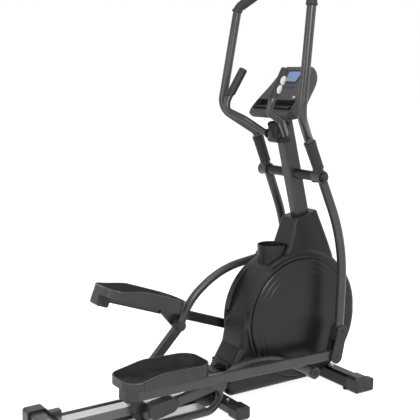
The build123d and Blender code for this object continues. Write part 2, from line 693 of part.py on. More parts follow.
def pedal_tray():
    z0 = TRAY_FLOOR - 6
    x0, x1 = TRAY_X
    shell = Pos(0, 0, z0) * extrude(tray_outline(), amount=TRAY_RIM + 6)
    well = Pos(0, 0, TRAY_FLOOR + 4) * extrude(tray_outline(TRAY_WALL), amount=TRAY_RIM + 6)
    tray = (shell - well) & plate_xz(tray_side(x0 - 5), 0, 260)
    under = Pos(0, 0, z0 - 1) * extrude(tray_outline(TRAY_WALL), amount=7)
    tray = tray - under
    panel = plate_xz(tray_side(x0 + 66), TRAY_Y[1] - 3, TRAY_Y[1] + 2.5) & box(x0 + 66, x1 - 46, 0, 260, z0, 200)
    skirt = Pos(0, 0, BAR_OFF - BAR_H / 2 - 1) * extrude(tray_outline(), amount=z0 - BAR_OFF + BAR_H / 2 + 3)
    skirt = skirt & box(x0 - 1, BAR_END + 12, BAR_Y - 22, 260, -40, 60)
    heel = box(x0 + 6, x0 + 62, BAR_Y - 80, BAR_Y - 20, BAR_OFF - 34, TRAY_FLOOR + 1, 8, Axis.Y)
    return tray + panel + skirt + heel - bar_clear()


def pedal_mat():
    return Pos(0, 0, TRAY_FLOOR + 4) * extrude(tray_outline(TRAY_WALL + 5), amount=3)


# ================================================================ roller arms
# drawn about the crank pin, left side, roller straight behind along -X
ARC_PATH = [(-8, 3), (-208, 109.5), (-422, 109.5), (-520, 42)]
ARC_BENDS = (425, 290)


def roller_arm():
    arm = tube([(x, ARM_Y, z) for x, z in ARC_PATH], ARC_BENDS, ARC_R)
    arm = arm + hull_plate([(-ARM_PIVOT, ARM_RISE, 19), (-ARM_LEN + 30, 5, 17)], ARM_Y - 13, ARM_Y + 13)
    arm = arm + hull_plate([(-ARM_LEN + 60, 10, 16), (-ARM_LEN, 0, 16)], ARM_Y - 13, ARM_Y + 13)
    arm = arm + rod(-ARM_PIVOT, ARM_RISE, ARM_FACE + 2, ARM_FACE + 46, 22)
    arm = arm + rod(0, 0, ARM_FACE, BAR_Y - 33, 27)
    cap = rod(0, 0, BAR_Y - 33, BAR_Y - 29, 24)
    arm = arm + cap
    arm = arm + rod(-ARM_LEN, 0, ROLLER_Y - 26, ARM_Y - 10, 6) + rod(-ARM_LEN, 0, ROLLER_Y - 28, ROLLER_Y - 22, 11)
    arm = arm + rod(-ARM_LEN, 0, ROLLER_Y + 22.5, ARM_Y - 10, 12)
    return arm - rod(-ARM_PIVOT, ARM_RISE, 100, 170, PIN_R + RUN)


def roller_cover():
    shape = [(-ARM_LEN + 39, 10, 34), (-ARM_LEN + 107, 20, 32)]
    inner = [(x, z, r - 4) for x, z, r in shape]
    cover = hull_plate(shape, ARM_Y - 19, ARM_Y + 22)
    cover = chamfer([e for e in cover.edges() if e.center().Y > ARM_Y + 21], 4)
    cover = cover - hull_plate(inner, ARM_Y - 15, ARM_Y + 18)
    cover = cover - hull_plate([(-ARM_PIVOT, ARM_RISE, 19 + FIT), (-ARM_LEN + 30, 5, 17 + FIT)],
                               ARM_Y - 13 - FIT, ARM_Y + 13 + FIT)
    cover = cover - hull_plate([(-ARM_LEN + 60, 10, 16 + FIT), (-ARM_LEN, 0, 16 + FIT)],
                               ARM_Y - 13 - FIT, ARM_Y + 13 + FIT)
    return cover - box(-ARM_LEN - 37, -ARM_LEN + 53, ARM_Y - 30, ARM_Y + 13.5, -17, 17)


def roller():
    w = rod(-ARM_LEN, 0, ROLLER_Y - ROLLER_W / 2, ROLLER_Y + ROLLER_W / 2, ROLLER_R)
    w = chamfer(w.edges(), 3)
    return w - rod(-ARM_LEN, 0, ROLLER_Y - 30, ROLLER_Y + 30, 6 + RUN)


# ================================================================ write
def save(name, part):
    part.label = name
    export_step(part, "parts/" + name + ".step")


def main():
    save("main_frame", main_frame())
    save("front_stabilizer", stabilizer(*FRONT_STAB, FRONT_HALF, STAB_TOP))
    save("mid_stabilizer", stabilizer(*MID_STAB, MID_HALF, 55))
    save("rear_stabilizer", stabilizer(*REAR_STAB, REAR_HALF, STAB_TOP - 8))
    save("front_caps", both(front_cap()))
    save("mid_caps", both(cap(*MID_STAB, MID_HALF, 55)))
    save("rear_caps", both(cap(*REAR_STAB, REAR_HALF, STAB_TOP - 8, 10)))
    save("feet", feet())
    save("rail_frame", rail_frame())
    save("mast", mast())
    save("cross_tube", cross_tube())
    save("pulse_handlebar", pulse_handlebar())
    save("pulse_grips", pulse_grips())
    save("pulse_sensors", pulse_sensors())
    save("clamp_cover", clamp_cover())
    save("console_body", console_body())
    save("console_display", console_display())
    save("console_ledge", console_ledge())
    save("console_button", console_button())
    for k in range(KEYS):
        save("console_key_" + str(k + 1), console_key(k))
    shell = housing()
    save("cup_holder", cup_holder())
    save("crank_axle", crank_axle())
    save("drive_pulley", drive_pulley())
    save("flywheel", flywheel())
    save("drive_belt", drive_belt())
    for side, word in ((1, "left"), (-1, "right")):
        save("rail_track_" + word, rail_track(side))
        save("transport_wheel_" + word, transport_wheel(side))
        save("housing_" + word, housing_half(shell, side))
        save("crank_arm_" + word, crank_arm(side))
        save("crank_disc_" + word, crank_disc(side))
        save("swing_arm_" + word, place_swing(swing_arm(), side))
        save("swing_sleeve_" + word, place_swing(swing_sleeve(), side))
        save("swing_handle_" + word, place_swing(swing_handle(), side))
        save("swing_grip_" + word, place_swing(swing_grip(), side))
        save("hinge_cover_" + word, place_swing(hinge_cover(), side))
        save("pedal_bar_" + word, place_bar(pedal_bar(), side))
        save("pedal_tray_" + word, place_bar(pedal_tray(), side))
        save("pedal_mat_" + word, place_bar(pedal_mat(), side))
        save("roller_arm_" + word, place_arm(roller_arm(), side))
        save("roller_cover_" + word, place_arm(roller_cover(), side))
        save("roller_" + word, place_arm(roller(), side))


main()
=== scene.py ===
import json
import math

import bmesh
import bpy
from mathutils import Matrix, Vector


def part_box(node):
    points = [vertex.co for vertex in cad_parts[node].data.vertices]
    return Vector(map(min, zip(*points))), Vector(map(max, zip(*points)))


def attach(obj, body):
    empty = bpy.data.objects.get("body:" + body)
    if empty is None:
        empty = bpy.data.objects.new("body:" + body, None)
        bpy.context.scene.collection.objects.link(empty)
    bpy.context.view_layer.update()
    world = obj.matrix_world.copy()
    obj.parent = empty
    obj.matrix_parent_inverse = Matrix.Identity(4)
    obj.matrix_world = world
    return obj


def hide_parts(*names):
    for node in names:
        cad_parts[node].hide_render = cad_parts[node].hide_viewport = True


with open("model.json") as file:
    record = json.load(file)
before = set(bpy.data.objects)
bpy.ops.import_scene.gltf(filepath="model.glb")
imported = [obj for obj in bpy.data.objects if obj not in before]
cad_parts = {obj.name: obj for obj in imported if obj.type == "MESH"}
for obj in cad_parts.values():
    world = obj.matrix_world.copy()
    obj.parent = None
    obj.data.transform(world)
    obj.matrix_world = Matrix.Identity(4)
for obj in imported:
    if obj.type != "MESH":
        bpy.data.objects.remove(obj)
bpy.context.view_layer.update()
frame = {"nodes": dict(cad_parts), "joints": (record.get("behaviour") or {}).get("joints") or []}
nodes = frame["nodes"]


# ---------------------------------------------------------------- materials

def new_material(name):
    mat = bpy.data.materials.new(name)
    mat.use_nodes = True
    tree = mat.node_tree
    shader = tree.nodes["Principled BSDF"]
    where = tree.nodes.new("ShaderNodeTexCoord").outputs["Object"]
    return mat, tree, shader, where


def shade(colour, factor):
    return tuple(min(1, c * factor) for c in colour)


def noise(tree, where, scale, detail=3.0, rough=0.55, stretch=None):
    if stretch:
        turn = tree.nodes.new("ShaderNodeMapping")
        turn.inputs["Scale"].default_value = stretch
        tree.links.new(where, turn.inputs["Vector"])
        where = turn.outputs["Vector"]
    tex = tree.nodes.new("ShaderNodeTexNoise")
    tex.inputs["Scale"].default_value = scale
    tex.inputs["Detail"].default_value = detail
    tex.inputs["Roughness"].default_value = rough
    tree.links.new(where, tex.inputs["Vector"])
    return tex.outputs["Fac"]


def ramp(tree, value, low, high, start=0.35, end=0.65):
    r = tree.nodes.new("ShaderNodeMapRange")
    r.inputs["From Min"].default_value = start
    r.inputs["From Max"].default_value = end
    r.inputs["To Min"].default_value = low
    r.inputs["To Max"].default_value = high
    tree.links.new(value, r.inputs["Value"])
    return r.outputs["Result"]


def blend_colour(tree, value, dark, light, start=0.35, end=0.65):
    m = tree.nodes.new("ShaderNodeMix")
    m.data_type = "RGBA"
    m.inputs[6].default_value = (*dark, 1)
    m.inputs[7].default_value = (*light, 1)
    tree.links.new(ramp(tree, value, 0, 1, start, end), m.inputs[0])
    return m.outputs[2]


def bump(tree, shader, height, strength, distance, before=None):
    b = tree.nodes.new("ShaderNodeBump")
    b.inputs["Strength"].default_value = strength
    b.inputs["Distance"].default_value = distance
    tree.links.new(height, b.inputs["Height"])
    if before:
        tree.links.new(before, b.inputs["Normal"])
    tree.links.new(b.outputs["Normal"], shader.inputs["Normal"])
    return b.outputs["Normal"]


def lighter_edges(tree, colour, light, amount, width=0.0015):
    """Lighter colour along sharp edges, read from a rounded normal."""
    soft = tree.nodes.new("ShaderNodeBevel")
    soft.samples = 4
    soft.inputs["Radius"].default_value = width
    flat = tree.nodes.new("ShaderNodeNewGeometry")
    same = tree.nodes.new("ShaderNodeVectorMath")
    same.operation = "DOT_PRODUCT"
    tree.links.new(soft.outputs["Normal"], same.inputs[0])
    tree.links.new(flat.outputs["Normal"], same.inputs[1])
    edge = ramp(tree, same.outputs["Value"], amount, 0, 0.80, 0.985)
    m = tree.nodes.new("ShaderNodeMix")
    m.data_type = "RGBA"
    tree.links.new(edge, m.inputs[0])
    tree.links.new(colour, m.inputs[6])
    m.inputs[7].default_value = (*light, 1)
    return m.outputs[2]


def powder_coat(name, colour, rough=0.42, tint=0.25, gloss=0.4):
    """Satin powder coat: fine orange peel, slight cloudiness and lighter edges."""
    mat, tree, shader, where = new_material(name)
    cloud = noise(tree, where, 7.0, 4)
    peel = noise(tree, where, 420.0, 2)
    col = blend_colour(tree, cloud, shade(colour, 1 - tint), shade(colour, 1 + tint))
    col = lighter_edges(tree, col, shade(colour, 2.2), 0.35)
    tree.links.new(col, shader.inputs["Base Color"])
    tree.links.new(ramp(tree, cloud, rough - 0.04, rough + 0.06), shader.inputs["Roughness"])
    bump(tree, shader, peel, 0.25, 0.0003)
    shader.inputs["Metallic"].default_value = 0.0
    shader.inputs["Specular IOR Level"].default_value = gloss
    return mat


def moulded(name, colour, rough=0.5, grain=900.0, depth=0.0004, tint=0.15, strength=0.35,
            gloss=0.3):
    """Injection moulded plastic with a spark eroded grain."""
    mat, tree, shader, where = new_material(name)
    cloud = noise(tree, where, 5.0, 4)
    fine = noise(tree, where, grain, 3, 0.6)
    col = blend_colour(tree, cloud, shade(colour, 1 - tint), shade(colour, 1 + tint))
    col = lighter_edges(tree, col, shade(colour, 1.9), 0.3)
    tree.links.new(col, shader.inputs["Base Color"])
    tree.links.new(ramp(tree, fine, rough - 0.05, rough + 0.07), shader.inputs["Roughness"])
    bump(tree, shader, fine, strength, depth)
    shader.inputs["Specular IOR Level"].default_value = gloss
    return mat


def brushed(name, colour, rough=0.28, along=(1, 60, 60), metallic=1.0):
    """Drawn metal with fine lines running one way."""
    mat, tree, shader, where = new_material(name)
    lines = noise(tree, where, 22.0, 5, 0.7, stretch=along)
    cloud = noise(tree, where, 9.0, 3)
    col = blend_colour(tree, lines, shade(colour, 0.86), shade(colour, 1.06))
    tree.links.new(col, shader.inputs["Base Color"])
    tree.links.new(ramp(tree, cloud, rough - 0.05, rough + 0.08), shader.inputs["Roughness"])
    bump(tree, shader, lines, 0.15, 0.0002)
    shader.inputs["Metallic"].default_value = metallic
    return mat


def turned_finish(name, colour, centre):
    """Moulded cover with fine rings around a centre, as a turned mould leaves them."""
    mat, tree, shader, where = new_material(name)
    shift = tree.nodes.new("ShaderNodeMapping")
    shift.inputs["Location"].default_value = (-centre[0], -centre[1], -centre[2])
    tree.links.new(where, shift.inputs["Vector"])
    rings = tree.nodes.new("ShaderNodeTexWave")
    rings.wave_type = "RINGS"
    rings.rings_direction = "Y"
    rings.inputs["Scale"].default_value = 60.0
    rings.inputs["Distortion"].default_value = 0.0
    tree.links.new(shift.outputs["Vector"], rings.inputs["Vector"])
    cloud = noise(tree, where, 6.0, 4)
    col = blend_colour(tree, cloud, shade(colour, 0.85), shade(colour, 1.15))
    col = lighter_edges(tree, col, shade(colour, 1.9), 0.3)
    tree.links.new(col, shader.inputs["Base Color"])
    tree.links.new(ramp(tree, cloud, 0.30, 0.40), shader.inputs["Roughness"])
    bump(tree, shader, rings.outputs["Fac"], 0.12, 0.0004)
    shader.inputs["Specular IOR Level"].default_value = 0.3
    return mat


def rubber(name, colour, rough=0.72, cells=700.0):
    """Soft rubber or foam skin with small open cells."""
    mat, tree, shader, where = new_material(name)
    cell = tree.nodes.new("ShaderNodeTexVoronoi")
    cell.inputs["Scale"].default_value = cells
    tree.links.new(where, cell.inputs["Vector"])
    cloud = noise(tree, where, 14.0, 4)
    col = blend_colour(tree, cloud, shade(colour, 0.75), shade(colour, 1.3))
    tree.links.new(col, shader.inputs["Base Color"])
    tree.links.new(ramp(tree, cloud, rough - 0.06, rough + 0.08), shader.inputs["Roughness"])
    bump(tree, shader, cell.outputs["Distance"], 0.35, 0.0005)
    return mat


CRANK = (0.415, 0.0, 0.341)           # middle of the crank axle

mast_coat = powder_coat("mast powder coat", (0.040, 0.039, 0.038), 0.30, 0.2, 0.45)
charcoal = powder_coat("charcoal powder coat", (0.044, 0.042, 0.039), 0.28, 0.2, 0.5)
black_coat = powder_coat("black powder coat", (0.009, 0.0086, 0.0082), 0.32, 0.2, 0.25)
shell_black = moulded("housing plastic", (0.0115, 0.0110, 0.0106), 0.38)
disc_grey = turned_finish("crank cover plastic", (0.0110, 0.0102, 0.0095), CRANK)
pedal_grey = moulded("pedal plastic", (0.050, 0.0485, 0.0455), 0.40, 800.0)
rim_grey = moulded("tray rim plastic", (0.040, 0.039, 0.037), 0.26, 800.0, 0.0002, 0.1, 0.2, 0.6)
mat_black = rubber("foot mat rubber", (0.012, 0.0115, 0.011), 0.55, 500.0)
tread_black = rubber("foot mat tread", (0.018, 0.0175, 0.017), 0.50, 500.0)
foam_black = rubber("grip foam", (0.034, 0.031, 0.029), 0.75, 900.0)
grip_black = moulded("grip plastic", (0.028, 0.027, 0.026), 0.48, 700.0)
rail_bright = brushed("drawn aluminium", (0.66, 0.65, 0.63), 0.30, (1, 70, 70), 0.85)
plate_bright = moulded("contact plate", (0.80, 0.77, 0.73), 0.26, 500.0, 0.0001, 0.04, 0.05)
console_black = moulded("console plastic", (0.058, 0.055, 0.057), 0.38, 1100.0)
clamp_black = moulded("clamp cover plastic", (0.008, 0.0076, 0.008), 0.34, 1100.0, 0.0003,
                      0.15, 0.3, 0.25)
panel_grey = moulded("console overlay", (0.085, 0.080, 0.082), 0.40, 1100.0)
lcd_green = moulded("display lower window", (0.22, 0.36, 0.27), 0.18, 300.0, 0.0001, 0.04, 0.05)
cap_grey = moulded("cap plastic", (0.032, 0.030, 0.028), 0.34, 900.0)
screw_black = moulded("blackened screw", (0.010, 0.010, 0.010), 0.30, 900.0, 0.0001, 0.1, 0.1)
ledge_grey = moulded("ledge plastic", (0.010, 0.0096, 0.0105), 0.28, 1100.0)
lcd_glass = moulded("display window", (0.20, 0.31, 0.58), 0.16, 300.0, 0.0001, 0.04, 0.05)
key_grey = moulded("key rubber", (0.060, 0.058, 0.066), 0.5, 900.0)
button_white = moulded("button plastic", (0.78, 0.77, 0.75), 0.3, 900.0, 0.0001, 0.03, 0.1)
wheel_black = moulded("wheel nylon", (0.030, 0.029, 0.028), 0.45, 600.0)
foot_black = rubber("foot rubber", (0.022, 0.022, 0.022))
belt_black = rubber("belt rubber", (0.016, 0.016, 0.016), 0.6, 400.0)
iron = brushed("cast iron", (0.20, 0.19, 0.18), 0.5, (30, 30, 30))
zinc = brushed("zinc plate", (0.55, 0.52, 0.46), 0.34, (30, 30, 30))

finish_of = {
    "main_frame": black_coat, "front_stabilizer": black_coat, "mid_stabilizer": charcoal,
    "rear_stabilizer": charcoal, "front_caps": cap_grey, "mid_caps": cap_grey,
    "rear_caps": cap_grey, "feet": foot_black, "rail_frame": charcoal, "mast": mast_coat,
    "cross_tube": black_coat, "pulse_handlebar": charcoal, "pulse_grips": grip_black,
    "pulse_sensors": plate_bright, "clamp_cover": clamp_black, "console_body": console_black,
    "console_display": lcd_glass, "console_ledge": ledge_grey, "console_button": button_white,
    "cup_holder": shell_black, "crank_axle": zinc, "drive_pulley": wheel_black,
    "flywheel": iron, "drive_belt": belt_black, "rail_track": rail_bright,
    "transport_wheel": wheel_black, "housing": shell_black, "crank_arm": black_coat,
    "crank_disc": disc_grey, "swing_arm": charcoal, "swing_sleeve": grip_black,
    "swing_handle": charcoal, "swing_grip": foam_black, "hinge_cover": cap_grey,
    "pedal_bar": charcoal, "pedal_tray": pedal_grey, "pedal_mat": mat_black,
    "roller_arm": charcoal, "roller_cover": pedal_grey, "roller": wheel_black,
}

for name, node in nodes.items():
    plain = name.removesuffix("_left").removesuffix("_right")
    mat = key_grey if plain.startswith("console_key") else finish_of[plain]
    node.data.materials.clear()
    node.data.materials.append(mat)


# ---------------------------------------------------------------- making pieces

ACROSS = Vector((0, 1, 0))
SIDES = {"left": 1, "right": -1}
MERGE = 0.000002                      # metres: closer points become one
joint_at = {j["name"]: Vector(j["pos_m"]) for j in frame["joints"] if j.get("pos_m")}


def finish_piece(name, bm, mat, body, angle=38):
    """Turns a worked shape into a named object that moves with a body."""
    bmesh.ops.remove_doubles(bm, verts=bm.verts[:], dist=MERGE)
    bmesh.ops.recalc_face_normals(bm, faces=bm.faces[:])
    data = bpy.data.meshes.new(name)
    bm.to_mesh(data)
    bm.free()
    data.shade_smooth()
    data.set_sharp_from_angle(angle=math.radians(angle))
    obj = bpy.data.objects.new(name, data)
    bpy.context.scene.collection.objects.link(obj)
    data.materials.append(mat)
    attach(obj, body)
    return obj


def put(bm, piece, matrix):
    """Adds a small shape to a larger one at the given place."""
    bmesh.ops.transform(piece, matrix=matrix, verts=piece.verts[:])
    if matrix.determinant() < 0:
        bmesh.ops.reverse_faces(piece, faces=piece.faces[:])
    held = bpy.data.meshes.new("held")
    piece.to_mesh(held)
    piece.free()
    bm.from_mesh(held)
    bpy.data.meshes.remove(held)


def gathered(*placed):
    """One shape made of (shape, matrix) pairs."""
    bm = bmesh.new()
    for piece, matrix in placed:
        put(bm, piece, matrix)
    return bm


def points_of(geom):
    return [g for g in geom if isinstance(g, bmesh.types.BMVert)]


def aimed(place, axis):
    """Matrix that stands a shape at a place with its own Z along axis."""
    return Matrix.Translation(place) @ Vector(axis).to_track_quat("Z", "Y").to_matrix().to_4x4()


def turned(profile, steps=36):
    """Lathe shape: (radius, height) points spun once around Z."""
    bm = bmesh.new()
    points = [bm.verts.new((r, 0, h)) for r, h in profile]
    lines = [bm.edges.new(pair) for pair in zip(points, points[1:])]
    bmesh.ops.spin(bm, geom=points + lines, cent=(0, 0, 0), axis=(0, 0, 1),
                   angle=2 * math.pi, steps=steps, use_merge=True)
    bmesh.ops.remove_doubles(bm, verts=bm.verts[:], dist=MERGE)
    return bm


def slab(wide, deep, thick, corner, edge=0.0, border=0.0):
    """Rounded rectangular plate on the XY plane; with a border it becomes an open frame."""
    bm = bmesh.new()
    bmesh.ops.create_grid(bm, x_segments=1, y_segments=1, size=0.5)
    bmesh.ops.scale(bm, vec=(wide, deep, 1), verts=bm.verts[:])
    bmesh.ops.bevel(bm, geom=bm.verts[:], offset=corner, segments=7, profile=0.5,
                    affect="VERTICES", material=-1)
    if border:
        inner = bm.faces[:]
        bmesh.ops.inset_region(bm, faces=inner, thickness=border,
                               use_boundary=True, use_even_offset=True)
        bmesh.ops.delete(bm, geom=inner, context="FACES")
    raised = bmesh.ops.extrude_face_region(bm, geom=bm.faces[:])["geom"]
    top = [g for g in raised if isinstance(g, bmesh.types.BMFace)]
    bmesh.ops.translate(bm, vec=(0, 0, thick), verts=points_of(raised))
    if edge:
        rims = [e for f in top for e in f.edges if any(x not in top for x in e.link_faces)]
        bmesh.ops.bevel(bm, geom=list(set(rims)), offset=edge, segments=2, profile=0.5,
                        affect="EDGES", material=-1)
    return bm


def hex_bolt(size, height):
    """Flanged hexagon head."""
    bm = turned([(0, 0), (size * 0.92, 0), (size * 0.92, height * 0.18),
                 (size * 0.6, height * 0.3)])
    head = bmesh.new()
    bmesh.ops.create_circle(head, cap_ends=True, segments=6, radius=size * 0.66)
    up = bmesh.ops.extrude_face_region(head, geom=head.faces[:])["geom"]
    bmesh.ops.translate(head, vec=(0, 0, height), verts=points_of(up))
    rims = [e for e in head.edges if all(v.co.z > height * 0.9 for v in e.verts)]
    bmesh.ops.bevel(head, geom=rims, offset=size * 0.07, segments=2, profile=0.5,
                    affect="EDGES", material=-1)
    put(bm, head, Matrix.Identity(4))
    return bm


def dome_cap(size, height):
    """Rounded plastic cap with a shallow groove and a dimple."""
    return turned([(size, 0), (size, height * 0.35), (size * 0.94, height * 0.6),
                   (size * 0.80, height * 0.74), (size * 0.76, height * 0.66),
                   (size * 0.72, height * 0.78), (size * 0.4, height), (size * 0.2, height),
                   (size * 0.14, height * 0.8), (0, height * 0.75)])


def sunk_screw(size):
    """Screw in a raised eyelet: the head lies below the rim."""
    return turned([(size * 1.5, -0.0004), (size * 1.44, 0.0005), (size * 1.12, 0.0008),
                   (size, 0.0003), (size * 0.94, -0.0001), (size * 0.4, 0.0002), (0, 0.00025)], 24)


def bead(radius, thick, steps=48, ripple=0.16):
    """Round ring about Z, rippled like weld metal unless ripple is 0."""
    bm = bmesh.new()
    bmesh.ops.create_circle(bm, segments=10, radius=thick)
    upright = Matrix.Rotation(math.pi / 2, 3, "X")
    bmesh.ops.rotate(bm, cent=(0, 0, 0), matrix=upright, verts=bm.verts[:])
    bmesh.ops.translate(bm, vec=(radius, 0, 0), verts=bm.verts[:])
    bmesh.ops.spin(bm, geom=bm.verts[:] + bm.edges[:], cent=(0, 0, 0), axis=(0, 0, 1),
                   angle=2 * math.pi, steps=steps, use_merge=True)
    for v in bm.verts:
        v.co.z += thick * ripple * math.sin(math.atan2(v.co.y, v.co.x) * 23)
    return bm


def lying(origin, drawn, actual, side=1):
    """Matrix of a moving part: drawn and actual are the angles of the same line."""
    place = Matrix.Translation((origin[0], 0, origin[2]))
    return place @ Matrix.Rotation(drawn - actual, 4, "Y") @ Matrix.Scale(side, 4, ACROSS)


def heading(a, b):
    return math.atan2(b[2] - a[2], b[0] - a[0])


def mm(*values):
    return Vector(v / 1000 for v in values)


# where each moving part was drawn, in its own frame; lengths in millimetres
SWING_LONG, SWING_LEAN = 811.0, 5.9     # swing pivot to pedal bar hinge; degrees
SWING_DRAWN = math.radians(SWING_LEAN - 90)
BAR_DRAWN = math.pi + math.radians(3.7)
ARM_LONG, ARM_AT, ARM_UP = 843.0, 510.0, 54.0
ARM_DRAWN = math.atan2(ARM_UP, ARM_LONG - ARM_AT)
swing_frame, bar_frame, arm_frame = {}, {}, {}
for word, side in SIDES.items():
    pivot, hinge = joint_at["swing_" + word], joint_at["bar_" + word]
    link, wheel = joint_at["arm_" + word], joint_at["roller_" + word]
    swing_frame[word] = lying(pivot, SWING_DRAWN, heading(pivot, hinge), side)
    bar_frame[word] = lying(hinge, BAR_DRAWN, heading(hinge, link), side)
    tilt = ARM_DRAWN - heading(wheel, link)
    pin = wheel + Matrix.Rotation(tilt, 3, "Y") @ mm(ARM_LONG, 0, 0)
    arm_frame[word] = lying(pin, 0, -tilt, side)


# ---------------------------------------------------------------- pedals

TRAY = (-1026, -642, 12, 200, 62)       # rear, front, inner, outer, corner radius
MAT_TOP = 36.0
MAT_EDGE = 12                           # from the tray's outline to the tread's
RIB_STEP = 12.5


def tread(word):
    """Anti slip ribs inside a raised border, in rows of three and of two by turns."""
    x0, x1, y0, y1, corner = TRAY
    mid, half, turn = (y0 + y1) / 2, (y1 - y0) / 2 - MAT_EDGE, corner - MAT_EDGE

    def on_mat(x, y):
        return bar_frame[word] @ Matrix.Translation(mm(x, y, MAT_TOP - 0.2))

    border = slab((x1 - x0 - 2 * MAT_EDGE) / 1000, half * 2 / 1000, 0.0022, 0.050, 0.0007, 0.0045)
    bm = gathered((border, on_mat((x0 + x1) / 2, mid)))
    x, row = x0 + 34, 0
    while x < x1 - 30:
        inside = min(x - x0 - MAT_EDGE, x1 - MAT_EDGE - x, turn)
        reach = half - turn + math.sqrt(turn ** 2 - (turn - inside) ** 2) - 9
        if row % 2:
            runs = [(-reach, -7), (7, reach)]
        else:
            runs = [(-reach, -reach * 0.42), (-reach * 0.36, reach * 0.36), (reach * 0.42, reach)]
        for a, b in runs:
            rib = slab(0.0050, (b - a) / 1000, 0.0020, 0.0022, 0.0006)
            put(bm, rib, on_mat(x, mid + (a + b) / 2))
        x += RIB_STEP
        row += 1
    return bm


for word in SIDES:
    finish_piece("mat_tread_" + word, tread(word), tread_black, "bar_" + word)

# screws that hold the tray down through the mat
for word in SIDES:
    bm = bmesh.new()
    for x in (-990, -678):
        spot = Matrix.Translation(mm(x, 106, MAT_TOP + 0.2))
        put(bm, sunk_screw(0.0042), bar_frame[word] @ spot)
    finish_piece("tray_screws_" + word, bm, screw_black, "bar_" + word)

HEEL_RUN, RAMP_RUN = 50, 110            # length of the low rim, and of the ramp in front of it
HEEL_RIM, RIM_RISE = 57, 22             # height of the low rim, and what the ramp adds
RIM_FALL = 2                            # slight fall of the rim towards either end


def rim_path(word):
    """Line along the top of the tray wall: low round the heel, rising to the full rim."""
    x0, x1, y0, y1, corner = TRAY
    inset, steps = 2.2, 9
    path = []
    for cx, cy, start in ((x1 - corner, y1 - corner, 0), (x0 + corner, y1 - corner, 90),
                          (x0 + corner, y0 + corner, 180), (x1 - corner, y0 + corner, 270)):
        for k in range(steps + 1):
            a = math.radians(start + 90 * k / steps)
            path.append((cx + (corner - inset) * math.cos(a), cy + (corner - inset) * math.sin(a)))
        if start in (0, 180):
            ends = (x1 - corner, x0 + corner) if start == 0 else (x0 + corner, x1 - corner)
            path += [(ends[0] + (ends[1] - ends[0]) * k / 10, path[-1][1]) for k in range(1, 10)]
    ramp_end = HEEL_RUN + RAMP_RUN
    points = []
    for x, y in path:
        if x < x0 + HEEL_RUN:
            z = HEEL_RIM - RIM_FALL + RIM_FALL * (x - x0) / HEEL_RUN
        else:
            rise = min(1, max(0, (x - x0 - HEEL_RUN) / RAMP_RUN))
            rise -= 0.08 * math.sin(math.pi * rise) * (1 - 2 * rise)
            past = max(0, (x - x0 - ramp_end) / (x1 - x0 - ramp_end))
            z = HEEL_RIM + RIM_RISE * rise - RIM_FALL * past
        points.append(bar_frame[word] @ mm(x, y, z - 0.6))
    return points


def rim_bead(word):
    curve = bpy.data.curves.new("rim line", "CURVE")
    curve.dimensions = "3D"
    line = curve.splines.new("POLY")
    points = rim_path(word)
    line.points.add(len(points) - 1)
    for spot, p in zip(line.points, points):
        spot.co = (*p, 1)
    line.use_cyclic_u = True
    curve.bevel_depth = 0.0034
    curve.bevel_resolution = 3
    holder = bpy.data.objects.new("rim line", curve)
    data = bpy.data.meshes.new_from_object(holder)
    bm = bmesh.new()
    bm.from_mesh(data)
    bpy.data.objects.remove(holder)
    bpy.data.meshes.remove(data)
    bpy.data.curves.remove(curve)
    return bm


for word in SIDES:
    finish_piece("tray_rim_" + word, rim_bead(word), rim_grey, "bar_" + word, 60)


# ---------------------------------------------------------------- linkage fittings

HANDLE_LOW, HANDLE_TOP = mm(-182, 292, 270), mm(-116, 277, 712)
GRIP_START = 706
SLEEVE_TOP, SLEEVE_LOW = mm(-40, 186, 120), mm(140, 186, -310)
HUB = [(0.0195, -0.0003), (0.0190, 0.0006), (0.0120, 0.0008), (0.0110, 0.0002), (0.0064, 0.0002)]
COLLAR = [(0.0192, -0.010), (0.0224, -0.010), (0.0238, -0.008), (0.0238, -0.001), (0.0226, 0.001),
          (0.0192, 0.001)]


def seam_ring(r):
    return turned([(r - 0.001, -0.0022), (r + 0.0003, -0.0018), (r + 0.0007, 0),
                   (r + 0.0003, 0.0018), (r - 0.001, 0.0022)])


